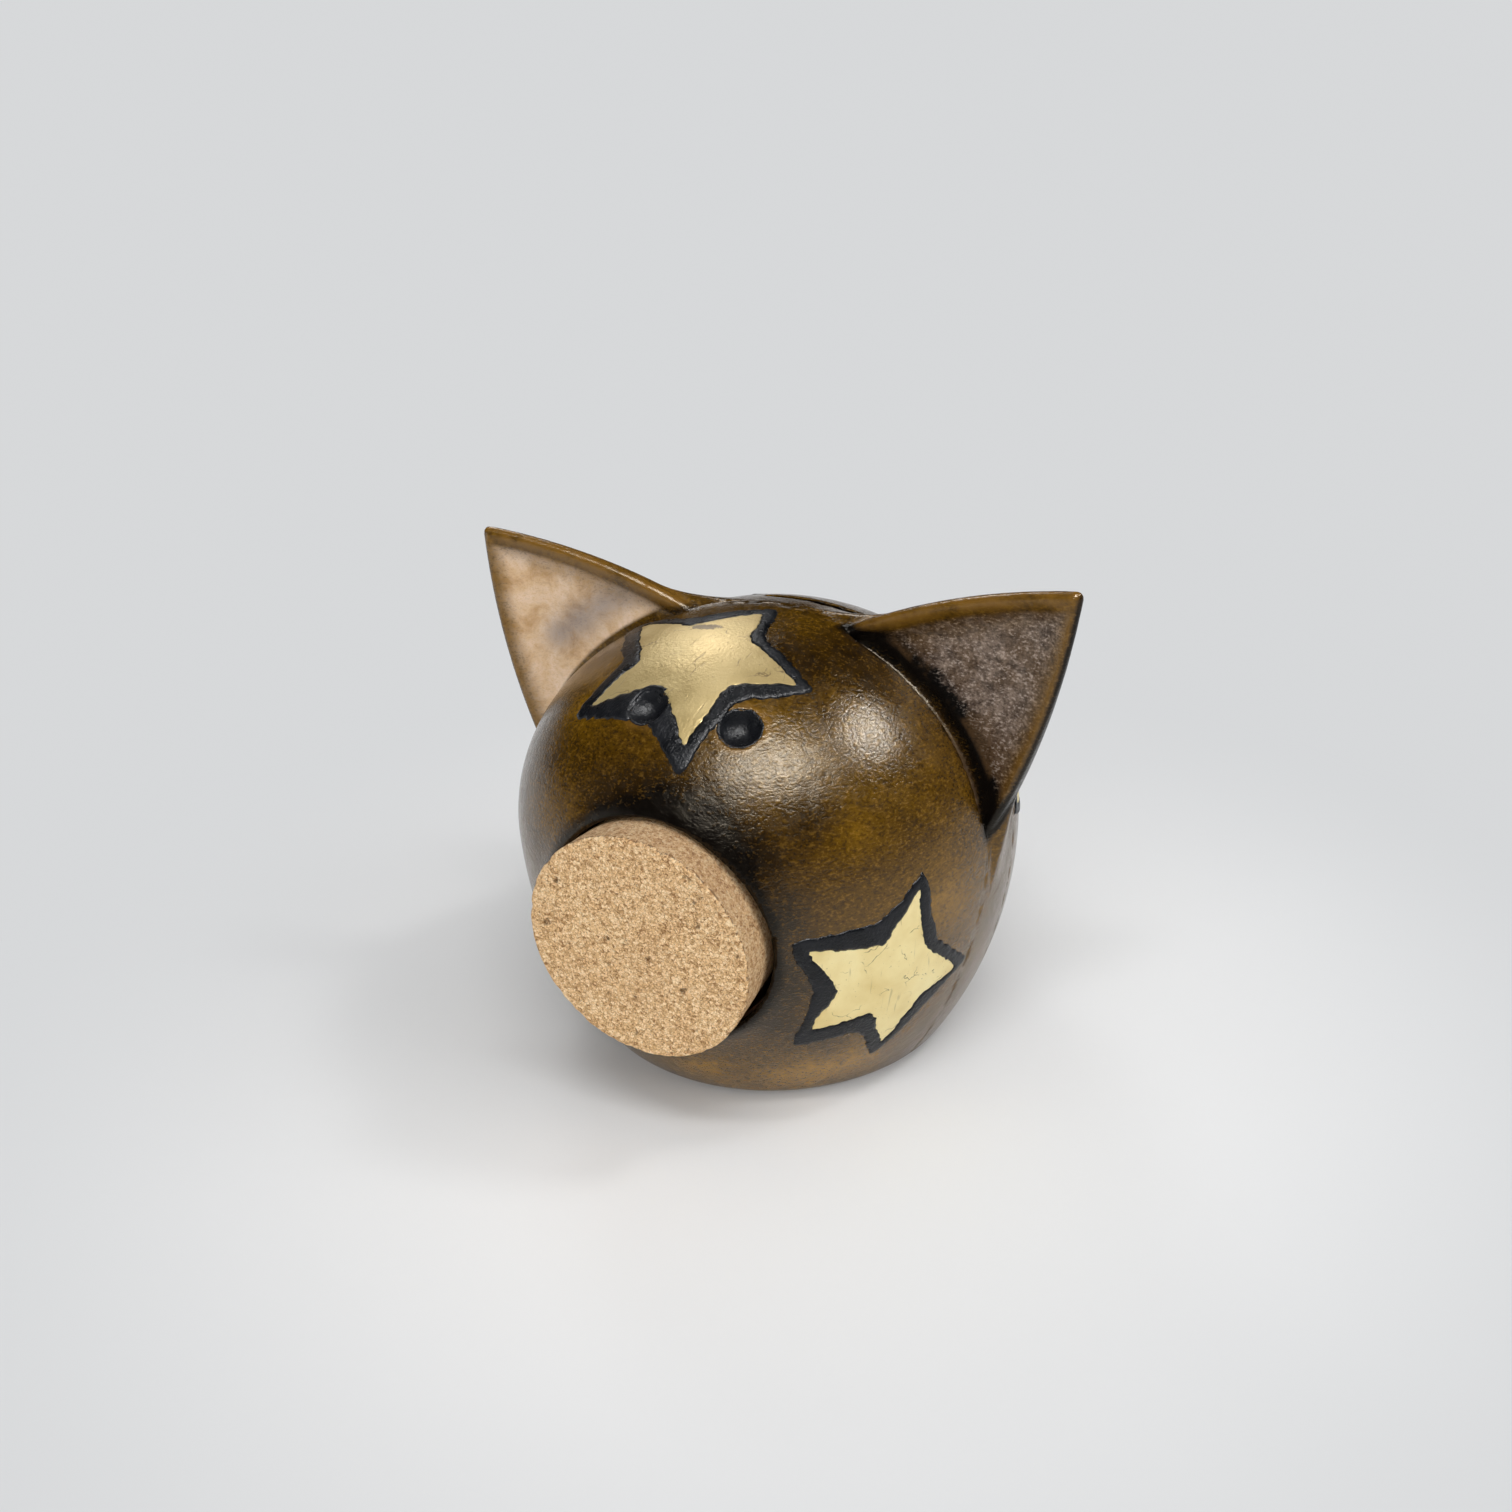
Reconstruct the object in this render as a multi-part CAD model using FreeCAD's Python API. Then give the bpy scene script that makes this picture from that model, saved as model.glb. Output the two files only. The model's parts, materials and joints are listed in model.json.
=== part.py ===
"""Piggy bank with a cork snout.

A hollow round clay pot stands on a flat foot. Ears and a curled tail are clay pieces luted
onto it. A tapered cork closes the round hole in the front: it is the snout, and it is pulled
out to empty the bank. Coins go in through a slot in the top. Stars of gold leaf with brushed
black outlines decorate the pot.

Millimetres. +Z is up and the pig looks along -Y, so +X is the pig's left side. The origin is
the centre of the foot, on the table.
"""

import FreeCAD, Part
import math
import os

Vector = FreeCAD.Vector

# Pot: an ellipse arc above the belly and a taller one below it, turned about Z
BODY_RADIUS = 70.0
BODY_HEIGHT = 119.5
BELLY_HEIGHT = 62.6
LOWER_RISE = 92.9  # vertical half-axis of the lower ellipse, which the foot cuts short
WALL = 6.0
FLOOR = 8.0
FOOT_ROUNDING = 2.5

# Cork stopper, which is the snout, and the hole it closes
CORK_AXIS_HEIGHT = 56.6
CORK_FACE_RADIUS = 31.0
CORK_END_RADIUS = 28.5
CORK_LENGTH = 30.0
CORK_STANDS_PROUD = 4.1  # of the belly radius
CORK_EDGE_ROUNDING = 0.6
FIT_GAP = 0.05
HOLE_BEVEL_START = 13.6  # behind the cork's face; from there out the hole flares at 45 degrees

# Coin slot, across the top and behind the ears
SLOT_LENGTH = 32.0
SLOT_WIDTH = 4.6
SLOT_CENTRE = (9.0, 18.5)

# Eyes: dimples pressed with a round tool, as (x, height)
EYES = {"left": (15.5, 105.8), "right": (-10.9, 107.2)}
EYE_TOOL_RADIUS = 6.0
EYE_DEPTH = 3.8
PAINT_THICKNESS = 0.15

# Ears: a three-sided blade, nearly square to the pig's line of sight. Its own axes are u, out
# from the middle, and v, up; they start at the inner end of the ear's top edge.
EAR_START = (24.4, 3.1, 118.0)
EAR_TURN = 7.9  # degrees, outer side swung forwards
EAR_LEAN = 9.1  # degrees, top leant back
EAR_ROOT_START = (-6.0, -3.5)
EAR_TIP = (63.2, 18.1)
EAR_LOWER_END = (45.6, -47.8)
EAR_TOP_BULGE = 3.4
EAR_SIDE_BULGE = 3.1
EAR_BURIED = [(30.0, -50.0), (-6.0, -20.0)]  # corners inside the pot
EAR_THICKNESS = 7.0
EAR_TIP_ROUNDING = 1.8
EAR_SCOOP_CENTRE = (38.0, -9.0)
EAR_SCOOP_RADIUS = 19.0
EAR_SCOOP_DEPTH = 3.0

# Tail: a ring of round clay rope on the rump, not quite closed, with one end in the pot
TAIL_HEIGHT = 70.0
TAIL_RADIUS = 3.4
TAIL_CURL_RADIUS = 7.0
TAIL_SWEEP = 295.0  # degrees
TAIL_START = 20.0  # degrees round the ring, where the rope starts
TAIL_TILT = 24.0  # degrees, free side swung out
TAIL_STANDS_OFF = 2.0  # from the pot to the rope's middle line

# Stars: thin films that follow the pot. A star's own axes are u, to the right, and v, up, as
# seen facing it from outside, and they start at the star's centre.
LEAF_THICKNESS = 0.15
OUTLINE_THICKNESS = 0.25
FILM_REACH = 30.0  # how far a star's cutting prism reaches in and out

# Stars cut and outlined freehand: where the centre is, as (degrees from +X towards +Y, height),
# then the corners of the leaf and of its outline, in order round the star, a tip first
DRAWN_STARS = {
    "forehead": {
        "centre": (-105.6, 115.2),
        "leaf": [(17.7, -24.6), (16.4, -3.9), (30.8, 6.0), (9.2, 12.7), (3.1, 25.9),
                 (-11.2, 11.5), (-33.9, 12.9), (-13.4, -6.1), (-19.1, -23.1), (0.5, -11.3)],
        "outline": [(20.0, -30.5), (21.3, -7.8), (34.4, 6.7), (12.1, 14.8), (4.0, 30.2),
                    (-15.1, 15.3), (-41.7, 13.8), (-19.3, -7.0), (-21.9, -26.0), (4.7, -22.5)],
    },
    "left_cheek": {
        "centre": (-38.7, 41.4),
        "leaf": [(8.8, 26.6), (10.7, 8.5), (24.5, -6.9), (12.4, -10.0), (2.1, -24.5),
                 (-2.9, -9.2), (-20.2, -12.9), (-12.5, 1.0), (-21.5, 14.8), (-1.2, 12.6)],
        "outline": [(10.9, 29.6), (14.4, 8.5), (28.5, -6.4), (14.9, -14.1), (0.8, -28.8),
                    (-5.9, -14.9), (-22.8, -18.4), (-18.6, 1.3), (-24.9, 17.4), (-1.9, 19.8)],
    },
}

# The others: centre as above, then how far the star is turned, in degrees
REGULAR_STARS = {
    "left_flank": ((32.0, 71.0), 186.0),
    "right_flank": ((152.0, 62.0), 98.0),
    "rump": ((108.0, 99.0), 77.0),
}
STAR_POINTS = 5
STAR_TIP_RADIUS = 25.0
STAR_NOTCH_RADIUS = 12.5
STAR_BORDER = 3.6


def pot_form(grow, z_bottom):
    """The pot's outer form, grown by an offset, solid, and cut flat at z_bottom."""
    radius = BODY_RADIUS + grow
    upper_rise = BODY_HEIGHT - BELLY_HEIGHT + grow
    lower_rise = LOWER_RISE + grow
    centre = Vector(0, 0, BELLY_HEIGHT)
    belly = Vector(radius, 0, BELLY_HEIGHT)
    top = Vector(0, 0, BELLY_HEIGHT + upper_rise)
    lowest = Vector(0, 0, BELLY_HEIGHT - lower_rise)
    upper = Part.ArcOfEllipse(Part.Ellipse(belly, top, centre), 0, math.pi / 2)
    foot_angle = math.acos((BELLY_HEIGHT - z_bottom) / lower_rise)
    lower = Part.ArcOfEllipse(Part.Ellipse(lowest, belly, centre), foot_angle, math.pi / 2)
    foot_edge = lower.StartPoint
    foot_centre = Vector(0, 0, z_bottom)
    edges = [
        upper.toBSpline().toShape(),
        Part.makeLine(top, foot_centre),
        Part.makeLine(foot_centre, foot_edge),
        lower.toBSpline().toShape(),
    ]
    profile = Part.Face(Part.Wire(Part.__sortEdges__(edges)))
    return profile.revolve(Vector(0, 0, 0), Vector(0, 0, 1), 360)


def cork_cone(grow, start, end):
    """The stopper's cone, grown by a gap, between two depths behind the cork's face."""
    slope = (CORK_END_RADIUS - CORK_FACE_RADIUS) / CORK_LENGTH
    face_y = -(BODY_RADIUS + CORK_STANDS_PROUD)
    return Part.makeCone(
        CORK_FACE_RADIUS + slope * start + grow,
        CORK_FACE_RADIUS + slope * end + grow,
        end - start,
        Vector(0, face_y + start, CORK_AXIS_HEIGHT),
        Vector(0, 1, 0),
    )


def surface_radius(height):
    """Radius of the pot's outside at a height."""
    rise = LOWER_RISE if height < BELLY_HEIGHT else BODY_HEIGHT - BELLY_HEIGHT
    return BODY_RADIUS * math.sqrt(1 - ((height - BELLY_HEIGHT) / rise) ** 2)


def surface_normal(point):
    """Outward direction of the pot's outside at a point on it."""
    rise = LOWER_RISE if point.z < BELLY_HEIGHT else BODY_HEIGHT - BELLY_HEIGHT
    slope_z = (point.z - BELLY_HEIGHT) / rise ** 2
    normal = Vector(point.x / BODY_RADIUS ** 2, point.y / BODY_RADIUS ** 2, slope_z)
    return normal.normalize()


def eye_tool(side):
    """The round tool that pressed an eye, where it stopped."""
    x, height = EYES[side]
    y = -math.sqrt(surface_radius(height) ** 2 - x ** 2)
    point = Vector(x, y, height)
    return point + surface_normal(point) * (EYE_TOOL_RADIUS - EYE_DEPTH)


def eye_dimple(side, grow=0.0):
    """Ball that an eye dimple is cut with."""
    return Part.makeSphere(EYE_TOOL_RADIUS + grow, eye_tool(side))


def slot_cutter():
    """Upright bar with round ends that cuts the coin slot."""
    x, y = SLOT_CENTRE
    low = BODY_HEIGHT - 40.0
    rise = 60.0
    half = (SLOT_LENGTH - SLOT_WIDTH) / 2
    bar = Part.makeBox(2 * half, SLOT_WIDTH, rise, Vector(x - half, y - SLOT_WIDTH / 2, low))
    for end in (x - half, x + half):
        bar = bar.fuse(Part.makeCylinder(SLOT_WIDTH / 2, rise, Vector(end, y, low)))
    return bar.removeSplitter()


def round_edges(solid, radius, wanted):
    """The solid with every edge that passes a test rounded."""
    edges = [edge for edge in solid.Edges if wanted(edge)]
    return solid.makeFillet(radius, edges)


def is_foot_edge(edge):
    """The outer ring of the foot."""
    box = edge.BoundBox
    return box.ZMax < 0.01 and box.XLength > BODY_RADIUS


def hole_bevel():
    """Cone that flares the mouth of the snout hole at 45 degrees."""
    flare = HOLE_BEVEL_START
    narrow = CORK_FACE_RADIUS
    face_y = -(BODY_RADIUS + CORK_STANDS_PROUD)
    mouth = Vector(0, face_y, CORK_AXIS_HEIGHT)
    return Part.makeCone(narrow + flare, narrow, flare, mouth, Vector(0, 1, 0))


def make_body_shell():
    """The hollow pot, with its slot, snout hole and eye dimples."""
    outside = round_edges(pot_form(0, 0), FOOT_ROUNDING, is_foot_edge)
    bored = outside.cut(cork_cone(FIT_GAP, -CORK_LENGTH, CORK_LENGTH))
    shell = bored.cut(hole_bevel()).cut(pot_form(-WALL, FLOOR))
    shell = shell.cut(slot_cutter())
    for side in EYES:
        shell = shell.cut(eye_dimple(side))
    return shell


def make_cork_stopper():
    """The tapered cork, with the edge of its face just broken."""
    cork = cork_cone(0, 0, CORK_LENGTH)
    face_y = -(BODY_RADIUS + CORK_STANDS_PROUD)
    return round_edges(cork, CORK_EDGE_ROUNDING, lambda e: e.BoundBox.YMax < face_y + 0.01)


def ear_axes():
    """Start point and the u, v and outward axes of the left ear."""
    turn = math.radians(EAR_TURN)
    lean = math.radians(EAR_LEAN)
    u = Vector(math.cos(turn), -math.sin(turn), 0)
    v = Vector(math.sin(turn) * math.sin(lean), math.cos(turn) * math.sin(lean), math.cos(lean))
    return Vector(*EAR_START), u, v, v.cross(u) * -1


def crown_of(start, end, bulge):
    """Middle of the arc between two points of an ear's plane that bows out to its left."""
    middle = ((start[0] + end[0]) / 2, (start[1] + end[1]) / 2)
    run = (end[0] - start[0], end[1] - start[1])
    length = math.hypot(*run)
    return (middle[0] - bulge * run[1] / length, middle[1] + bulge * run[0] / length)


def make_left_ear():
    """The ear on the +X side: a blade with a scooped front, cut to sit on the pot."""
    start, u, v, out = ear_axes()

    def place(point):
        return start + u * point[0] + v * point[1]

    top_crown = crown_of(EAR_ROOT_START, EAR_TIP, EAR_TOP_BULGE)
    side_crown = crown_of(EAR_TIP, EAR_LOWER_END, EAR_SIDE_BULGE)
    buried = [EAR_LOWER_END] + EAR_BURIED + [EAR_ROOT_START]
    edges = [
        Part.Arc(place(EAR_ROOT_START), place(top_crown), place(EAR_TIP)).toShape(),
        Part.Arc(place(EAR_TIP), place(side_crown), place(EAR_LOWER_END)).toShape(),
    ]
    edges += [Part.makeLine(place(a), place(b)) for a, b in zip(buried, buried[1:])]
    blade = Part.Face(Part.Wire(edges)).extrude(out * -EAR_THICKNESS)
    tip = place(EAR_TIP)
    blade = round_edges(
        blade, EAR_TIP_ROUNDING, lambda e: all(
            (p.Point - tip).cross(out).Length < 0.01 for p in e.Vertexes
        )
    )
    scoop_radius = (EAR_SCOOP_RADIUS ** 2 + EAR_SCOOP_DEPTH ** 2) / (2 * EAR_SCOOP_DEPTH)
    scoop_centre = place(EAR_SCOOP_CENTRE) + out * (scoop_radius - EAR_SCOOP_DEPTH)
    blade = blade.cut(Part.makeSphere(scoop_radius, scoop_centre))
    return blade.cut(pot_form(0, 0))


def make_tail():
    """A curl of clay rope with a ball at each end, one of them sunk in the rump."""
    up = Vector(0, 0, 1)
    start = Vector(TAIL_CURL_RADIUS, 0, 0)
    across = Part.Circle(start, Vector(0, 1, 0), TAIL_RADIUS).toShape()
    rope = Part.Face(Part.Wire(across)).revolve(Vector(), up, TAIL_SWEEP)
    for angle in (0, math.radians(TAIL_SWEEP)):
        end = Vector(math.cos(angle), math.sin(angle), 0) * TAIL_CURL_RADIUS
        rope = rope.fuse(Part.makeSphere(TAIL_RADIUS, end))
    rope.rotate(Vector(), up, TAIL_START)
    rope.rotate(Vector(), Vector(1, 0, 0), -90)
    rope.rotate(Vector(), up, -TAIL_TILT)
    middle_y = surface_radius(TAIL_HEIGHT) + TAIL_STANDS_OFF
    rope.translate(Vector(0, middle_y, TAIL_HEIGHT))
    return rope.cut(pot_form(0, 0))


def make_eye_paint(side):
    """The film of paint that lines an eye dimple."""
    film = eye_dimple(side).cut(eye_dimple(side, -PAINT_THICKNESS))
    return film.common(pot_form(0, 0))


def star_axes(centre):
    """Centre on the pot and the u, v and outward axes of a star."""
    angle, height = centre
    radius = surface_radius(height)
    turn = math.radians(angle)
    point = Vector(radius * math.cos(turn), radius * math.sin(turn), height)
    out = surface_normal(point)
    u = Vector(0, 0, 1).cross(out).normalize()
    return point, u, out.cross(u), out


def regular_corners(turn, grow):
    """Corners of a five-pointed star, each corner moved out by an offset."""
    corners = []
    for i in range(2 * STAR_POINTS):
        radius = (STAR_NOTCH_RADIUS if i % 2 else STAR_TIP_RADIUS) + grow
        angle = math.radians(turn + 180.0 * i / STAR_POINTS)
        corners.append((radius * math.cos(angle), radius * math.sin(angle)))
    return corners


def star_prism(centre, corners):
    """Straight prism over a star's corners that reaches through the wall."""
    point, u, v, out = star_axes(centre)
    loop = [point + u * a + v * b - out * FILM_REACH for a, b in corners]
    wire = Part.makePolygon(loop + loop[:1])
    return Part.Face(wire).extrude(out * 2 * FILM_REACH)


def film(prism, thickness, taken):
    """The layer of a given thickness that a prism cuts out around the pot."""
    layer = prism.common(pot_form(thickness, 0))
    for solid in taken:
        layer = layer.cut(solid)
    return layer


def make_stars(ears):
    """Every star's leaf, and the outline around it, by node name."""
    stars = {}
    for name, star in DRAWN_STARS.items():
        stars[name] = (star["centre"], star["leaf"], star["outline"])
    for name, (centre, turn) in REGULAR_STARS.items():
        stars[name] = (centre, regular_corners(turn, 0), regular_corners(turn, STAR_BORDER))
    taken = [pot_form(0, 0), eye_dimple("left"), eye_dimple("right")] + ears
    nodes = {}
    for name, (centre, leaf_corners, outline_corners) in stars.items():
        leaf_prism = star_prism(centre, leaf_corners)
        outline_prism = star_prism(centre, outline_corners).cut(leaf_prism)
        nodes["star_leaf_" + name] = film(leaf_prism, LEAF_THICKNESS, taken)
        nodes["star_outline_" + name] = film(outline_prism, OUTLINE_THICKNESS, taken)
    return nodes


def make_nodes():
    """Every piece, by node name."""
    left_ear = make_left_ear()
    right_ear = left_ear.mirror(Vector(0, 0, 0), Vector(1, 0, 0))
    nodes = {
        "body_shell": make_body_shell(),
        "cork_stopper": make_cork_stopper(),
        "ear_left": left_ear,
        "ear_right": right_ear,
        "tail": make_tail(),
    }
    for side in EYES:
        nodes["eye_paint_" + side] = make_eye_paint(side)
    nodes.update(make_stars([left_ear, right_ear]))
    return nodes


os.makedirs("parts", exist_ok=True)
for node, shape in make_nodes().items():
    shape.Solids[0].exportStep(f"parts/{node}.step")
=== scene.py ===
"""Looks of the piggy bank: patinated clay, a cork snout, gold-leaf stars and black paint.

The clay pieces are level sets: a field gives each point's distance to the surface, and
`surface_net` turns the field's zero set into a closed mesh. The films of leaf and paint are
draped over the same field, so they follow every swell of the pot. The maths is in
millimetres in the frame's own axes; meshes are made in metres.
"""

import json
import math
from collections import namedtuple

import bpy
import numpy as np
from mathutils import Euler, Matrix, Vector, kdtree


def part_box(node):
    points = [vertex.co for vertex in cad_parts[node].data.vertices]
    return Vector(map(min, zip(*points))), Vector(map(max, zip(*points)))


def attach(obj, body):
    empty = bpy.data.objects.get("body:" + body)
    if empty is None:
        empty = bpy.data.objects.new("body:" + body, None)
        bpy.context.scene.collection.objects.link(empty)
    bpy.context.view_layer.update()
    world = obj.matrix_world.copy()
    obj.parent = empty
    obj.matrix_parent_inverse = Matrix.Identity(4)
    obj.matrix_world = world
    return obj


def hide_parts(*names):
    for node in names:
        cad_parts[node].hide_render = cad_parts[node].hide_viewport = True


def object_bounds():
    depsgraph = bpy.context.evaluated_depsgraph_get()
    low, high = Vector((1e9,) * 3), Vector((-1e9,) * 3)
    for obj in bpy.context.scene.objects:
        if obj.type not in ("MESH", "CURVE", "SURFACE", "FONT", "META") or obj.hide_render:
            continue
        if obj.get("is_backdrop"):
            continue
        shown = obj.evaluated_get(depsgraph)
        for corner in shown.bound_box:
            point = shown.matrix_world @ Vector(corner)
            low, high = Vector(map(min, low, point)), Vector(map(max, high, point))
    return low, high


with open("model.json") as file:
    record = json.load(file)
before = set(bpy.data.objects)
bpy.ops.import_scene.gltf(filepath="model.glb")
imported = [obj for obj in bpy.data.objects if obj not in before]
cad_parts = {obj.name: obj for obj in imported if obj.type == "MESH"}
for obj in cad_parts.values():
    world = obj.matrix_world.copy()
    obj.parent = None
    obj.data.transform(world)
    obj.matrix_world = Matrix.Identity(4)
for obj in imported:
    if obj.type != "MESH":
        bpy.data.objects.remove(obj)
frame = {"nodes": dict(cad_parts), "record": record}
cad_low, cad_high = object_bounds()

MM = 0.001
POT, STOPPER = "pot", "stopper"


# ---- Sizes and places, from the frame -------------------------------------------------


def node_points(name):
    """A CAD node's vertices, in millimetres."""
    mesh = frame["nodes"][name].data
    points = np.empty(len(mesh.vertices) * 3)
    mesh.vertices.foreach_get("co", points)
    return points.reshape(-1, 3) / MM


def fit_ball(points):
    """Centre and radius of the ball that passes nearest to the points."""
    table = np.c_[2 * points, np.ones(len(points))]
    answer = np.linalg.lstsq(table, (points ** 2).sum(1), rcond=None)[0]
    return answer[:3], math.sqrt(answer[3] + (answer[:3] ** 2).sum())


shell_points = node_points("body_shell")
shell_radii = np.hypot(shell_points[:, 0], shell_points[:, 1])
BELLY_R = shell_radii.max()
BELLY_Z = shell_points[np.abs(shell_points[:, 0]).argmax(), 2]
TOP_Z = shell_points[:, 2].max()
UPPER_RISE = TOP_Z - BELLY_Z
low_wall = (shell_points[:, 2] > 0.1 * BELLY_Z) & (shell_points[:, 2] < 0.5 * BELLY_Z)
low_squeeze = np.sqrt(1 - (shell_radii[low_wall] / BELLY_R) ** 2)
LOWER_RISE = ((BELLY_Z - shell_points[low_wall, 2]) / low_squeeze).max()
WALL = 6.0
FLOOR = 8.0
FOOT_ROUND = 2.5
CAVITY_ROUND = 6.0
CAVITY_EDGE_ROUND = 0.8

cork_points = node_points("cork_stopper")
CORK_LOW, CORK_HIGH = cork_points.min(0), cork_points.max(0)
CORK_FACE_Y = CORK_LOW[1]
CORK_LENGTH = CORK_HIGH[1] - CORK_LOW[1]
CORK_Z = (CORK_LOW[2] + CORK_HIGH[2]) / 2
CORK_FACE_R = CORK_HIGH[0]
CORK_END_R = cork_points[cork_points[:, 1] > CORK_HIGH[1] - 0.1, 0].max()
CORK_SLOPE = (CORK_END_R - CORK_FACE_R) / CORK_LENGTH
HOLE_GAP = 0.6
GAP_SWELL = 1.2  # the hole is hand cut, and wider on its +X side
RIM_ROUND = 1.3
LIP_RISE = 0.9

EYES = {name: fit_ball(node_points(name)) for name in ("eye_paint_left", "eye_paint_right")}
EYE_LIP = 0.45
EYE_PAINT_R = 5.7

slot_low, slot_high = (
    np.array(corner) / MM
    for opening in frame["record"]["physics"]["openings"]
    if opening["name"] == "coin_slot"
    for corner in opening["box_m"]
)
SLOT_X, SLOT_Y = ((slot_low + slot_high) / 2)[:2]
SLOT_HALF_LENGTH = 16.0
SLOT_HALF_WIDTH = 2.3
SLOT_ROUND = 0.4
CUT_DEPTH = 30.0

# The ear blade's own axes: a out from the middle, b up, c forwards, from the inner root
ear_points = node_points("ear_left")
EAR_TURN, EAR_LEAN = math.radians(7.9), math.radians(9.1)
EAR_A = np.array([math.cos(EAR_TURN), -math.sin(EAR_TURN), 0])
EAR_B = np.array([
    math.sin(EAR_TURN) * math.sin(EAR_LEAN),
    math.cos(EAR_TURN) * math.sin(EAR_LEAN),
    math.cos(EAR_LEAN),
])
EAR_C = np.cross(EAR_A, EAR_B)
ear_local = ear_points @ np.array([EAR_A, EAR_B, EAR_C]).T
EAR_FRONT = ear_local[:, 2].max()
EAR_TIP = np.array([ear_local[:, 0].max(), ear_local[:, 1].max()])
EAR_LOW = ear_local[ear_local[:, 1].argmin(), :2]
EAR_TOP_RUN = np.array([69.2, 21.6])  # along the top edge, from root to tip
EAR_ROOT = EAR_TIP - EAR_TOP_RUN
EAR_TOP_BOW, EAR_SIDE_BOW = 3.4, 3.1
EAR_AWAY = np.array([0.64, 0.768])  # square to the edge inside the pot, towards the tip
EAR_BURIED = 12.0
EAR_TIP_ROUND = 2.2
EAR_RIM_ROUND = 2.0
EAR_SCOOP = 3.4
EAR_EDGE_THICK = 4.6
EAR_ROOT_THICK = 8.5
EAR_FILLET_BACK = 9.0
EAR_FILLET_FRONT = 0.7
CREASE_R = {1: 2.8, -1: 1.2}  # the left ear's groove is the deeper one

tail_low, tail_high = (np.array(corner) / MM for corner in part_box("tail"))
TAIL_START, TAIL_SWEEP = -100, 470  # degrees round the curl's middle
TAIL_ROOT_R, TAIL_TIP_R = 3.6, 1.9
TAIL_FILLET = 1.6
SINK = 0.12  # how far an added piece's skirt lies under the pot's surface
SKIRT = 3.0


# ---- Fields ---------------------------------------------------------------------------


def distance_to(p, point):
    """Distance from each place to one point."""
    return np.sqrt(sum((p[i] - point[i]) ** 2 for i in range(3)))


def round_max(a, b, r):
    """Overlap of two fields, with the edge where they meet rounded to radius r."""
    outside = np.hypot(np.maximum(a + r, 0), np.maximum(b + r, 0))
    return np.minimum(-r, np.maximum(a, b)) + outside


def round_min(a, b, r):
    """Join of two fields, with a fillet of radius r where they meet."""
    return -round_max(-a, -b, r)


def smooth_step(value, start, end):
    """0 before start, 1 after end, and an S-shaped rise between them."""
    t = np.clip((value - start) / (end - start), 0, 1)
    return t * t * (3 - 2 * t)


def pot_form(p, grow=0.0):
    """The pot's plain egg form: two half ellipsoids that share the belly ring."""
    x, y, z = p
    wide = BELLY_R + grow
    rise = np.where(z > BELLY_Z, UPPER_RISE, LOWER_RISE) + grow
    flat = x * x + y * y
    up = z - BELLY_Z
    k0 = np.sqrt(flat / wide ** 2 + (up / rise) ** 2)
    k1 = np.sqrt(flat / wide ** 4 + (up / rise ** 2) ** 2)
    return np.where(k0 < 0.01, -wide, k0 * (k0 - 1) / np.maximum(k1, 1e-9))


def hand_swells(p):
    """The slow unevenness of a pot finished by hand."""
    x, y, z = p
    across = 0.28 * np.sin(x / 17 + 1.3 * np.sin(y / 23)) * np.cos(z / 19 + 0.6)
    return across + 0.2 * np.sin(y / 14 - z / 21 + 2.0)


def cork_hole(p):
    """The tapered hole, open to the front."""
    x, y, z = p
    across = np.hypot(x, z - CORK_Z)
    sideways = (x - 0.35 * (z - CORK_Z)) / np.maximum(across, 1.0)
    gap = HOLE_GAP + GAP_SWELL * smooth_step(sideways, 0.2, 1.0)
    radius = CORK_FACE_R + CORK_SLOPE * (y - CORK_FACE_Y) + gap
    return np.maximum(across - radius, y + BELLY_R - CUT_DEPTH)


def hole_lip(p):
    """Height of the low lip that was pushed up round the hole."""
    x, y, z = p
    from_edge = np.hypot(x, z - CORK_Z) - CORK_FACE_R - 1.0
    return LIP_RISE * (y < 0) * np.exp(-((from_edge / 4.0) ** 2))


def slot_hole(p):
    """The coin slot: an upright bar with round ends."""
    x, y, z = p
    past_end = np.maximum(np.abs(x - SLOT_X) - SLOT_HALF_LENGTH + SLOT_HALF_WIDTH, 0)
    bar = np.hypot(past_end, y - SLOT_Y) - SLOT_HALF_WIDTH
    return np.maximum(bar, TOP_Z - CUT_DEPTH - z)


def ear_place(p, side):
    """Coordinates a, b, c in an ear's own axes; the right ear is the left one mirrored."""
    x, y, z = p
    return [x * side * axis[0] + y * axis[1] + z * axis[2] for axis in (EAR_A, EAR_B, EAR_C)]


def disc_through(a, b, start, end, bulge):
    """Field of the big disc whose edge runs from start to end, bowed out to its left."""
    run = end - start
    length = math.hypot(*run)
    radius = (length ** 2 / 4 + bulge ** 2) / (2 * bulge)
    left = np.array([-run[1], run[0]]) / length
    centre = (start + end) / 2 - left * (radius - bulge)
    return np.hypot(a - centre[0], b - centre[1]) - radius


def ear_top(a, b):
    """Flat field of the disc whose edge is an ear's top edge."""
    return disc_through(a, b, EAR_ROOT, EAR_TIP, EAR_TOP_BOW)


def ear_outer(a, b):
    """Flat field of the disc whose edge is an ear's outer edge."""
    return disc_through(a, b, EAR_TIP, EAR_LOW, EAR_SIDE_BOW)


def ear_outline(a, b):
    """Flat outline of an ear: bowed top and side edges, and a third edge inside the pot."""
    top, outer = ear_top(a, b), ear_outer(a, b)
    inner = EAR_LOW @ EAR_AWAY - EAR_BURIED - (EAR_AWAY[0] * a + EAR_AWAY[1] * b)
    return round_max(round_max(top, outer, EAR_TIP_ROUND), inner, 1.0)


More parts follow.
